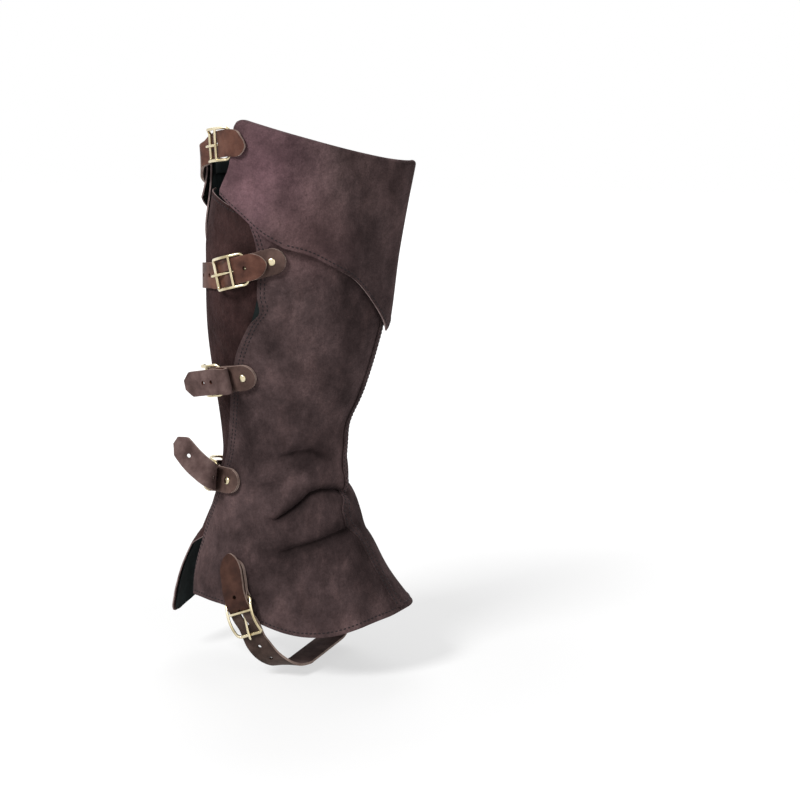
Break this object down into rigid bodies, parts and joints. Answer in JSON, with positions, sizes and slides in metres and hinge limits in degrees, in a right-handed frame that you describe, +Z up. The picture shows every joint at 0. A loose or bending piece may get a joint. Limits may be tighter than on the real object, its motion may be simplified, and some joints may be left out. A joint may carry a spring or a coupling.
{
  "type": "leg gaiter",
  "caption": "Knee-high nubuck gaiter for a right leg, with a turned-over cuff, a side zip, buckled straps round the back and a buckled strap under the shoe.",
  "frame": {"origin": "on the leg's axis over the ankle, at the level of the ground under the shoe", "axes": "+X to the toe, +Y to the inner side of a right leg, +Z up the leg; the buckles are on the -Y side"},
  "size_m": [0.2239, 0.1545, 0.4775],
  "materials": {
    "nubuck": "matt nubuck, mottled",
    "calf_leather": "smoother, darker nubuck",
    "strap_leather": "waxed grain, pale flesh side and edges",
    "lining": "matt black lining",
    "zip_tape": "woven tape",
    "zip_metal": "black",
    "brass": "pale antique brass"
  },
  "bodies": {
    "gaiter": {"lateral_front_panel": "nubuck", "medial_front_panel": "nubuck", "medial_rear_panel": "nubuck", "calf_panel": "calf_leather", "lateral_lining": "lining", "medial_front_lining": "lining", "medial_rear_lining": "lining", "calf_lining": "lining", "lateral_cuff": "nubuck", "medial_front_cuff": "nubuck", "medial_rear_cuff": "nubuck", "front_seam_strip": "nubuck", "zip_tape_front": "zip_tape", "zip_tape_rear": "zip_tape", "zip_teeth_front": "zip_metal", "zip_teeth_rear": "zip_metal", "zip_top_stop": "zip_metal", "zip_bottom_stop": "zip_metal", "top_strap": "strap_leather", "top_tab": "strap_leather", "top_frame": "brass", "upper_strap": "strap_leather", "upper_tab": "strap_leather", "upper_frame": "brass", "mid_strap": "strap_leather", "mid_tab": "strap_leather", "mid_frame": "brass", "lower_strap": "strap_leather", "lower_tab": "strap_leather", "lower_frame": "brass", "stirrup_strap": "strap_leather", "stirrup_tab": "strap_leather", "stirrup_frame": "brass", "tab_rivets": "brass", "strap_rivets": "brass"},
    "slider": {"zip_slider": "zip_metal"},
    "pull": {"zip_pull": "zip_metal"},
    "top_free_end": {"top_strap_end": "strap_leather"},
    "top_prong": {"top_prong": "brass"},
    "upper_free_end": {"upper_strap_end": "strap_leather"},
    "upper_prong": {"upper_prong": "brass"},
    "mid_free_end": {"mid_strap_end": "strap_leather"},
    "mid_prong": {"mid_prong": "brass"},
    "lower_free_end": {"lower_strap_end": "strap_leather"},
    "lower_prong": {"lower_prong": "brass"},
    "stirrup_free_end": {"stirrup_strap_end": "strap_leather"},
    "stirrup_prong": {"stirrup_prong": "brass"}
  },
  "joints": [
    {"name": "zip_slide", "type": "slide", "parent": "gaiter", "child": "slider", "axis": [0.0979, 0.0546, 0.9937], "range_m": [-0.028, 0.006]},
    {"name": "zip_pull_swing", "type": "hinge", "parent": "slider", "child": "pull", "pos_m": [0.03142, 0.06589, 0.33577], "axis": [0.9744, -0.2081, -0.0846], "range_deg": [0, 100]},
    {"name": "top_prong_swing", "type": "hinge", "parent": "gaiter", "child": "top_prong", "pos_m": [-0.02589, -0.0623, 0.46396], "axis": [-0.0784, 0.076, 0.994], "range_deg": [0, 4]},
    {"name": "top_end_lift", "type": "hinge", "parent": "gaiter", "child": "top_free_end", "pos_m": [-0.02071, -0.07213, 0.4643], "axis": [0.0209, -0.0306, -0.9993], "range_deg": [0, 20], "stiffness_Nm_per_rad": 0.01},
    {"name": "upper_prong_swing", "type": "hinge", "parent": "gaiter", "child": "upper_prong", "pos_m": [-0.0134, -0.06456, 0.36104], "axis": [-0.2242, 0.0849, 0.9708], "range_deg": [0, 4]},
    {"name": "upper_end_lift", "type": "hinge", "parent": "gaiter", "child": "upper_free_end", "pos_m": [-0.00702, -0.0717, 0.36306], "axis": [0.2478, -0.0619, -0.9668], "range_deg": [0, 25], "stiffness_Nm_per_rad": 0.01},
    {"name": "mid_prong_swing", "type": "hinge", "parent": "gaiter", "child": "mid_prong", "pos_m": [-0.04273, -0.04586, 0.26293], "axis": [-0.2015, 0.0373, 0.9788], "range_deg": [0, 4]},
    {"name": "mid_end_lift", "type": "hinge", "parent": "gaiter", "child": "mid_free_end", "pos_m": [-0.04262, -0.06058, 0.26316], "axis": [-0.2018, 0.0118, 0.9793], "range_deg": [0, 25], "stiffness_Nm_per_rad": 0.01},
    {"name": "lower_prong_swing", "type": "hinge", "parent": "gaiter", "child": "lower_prong", "pos_m": [-0.05901, -0.0241, 0.17128], "axis": [0.1904, 0.1197, 0.9744], "range_deg": [0, 4]},
    {"name": "lower_end_lift", "type": "hinge", "parent": "gaiter", "child": "lower_free_end", "pos_m": [-0.05851, -0.05111, 0.1825], "axis": [0.5737, 0.2794, 0.7699], "range_deg": [0, 25], "stiffness_Nm_per_rad": 0.01},
    {"name": "stirrup_prong_swing", "type": "hinge", "parent": "gaiter", "child": "stirrup_prong", "pos_m": [-0.02606, -0.06209, 0.07267], "axis": [-0.8985, 0.2233, -0.3778], "range_deg": [0, 4]},
    {"name": "stirrup_end_lift", "type": "hinge", "parent": "gaiter", "child": "stirrup_free_end", "pos_m": [-0.03001, -0.06597, 0.0806], "axis": [0.9113, -0.2335, 0.3392], "range_deg": [0, 20], "stiffness_Nm_per_rad": 0.01}
  ]
}
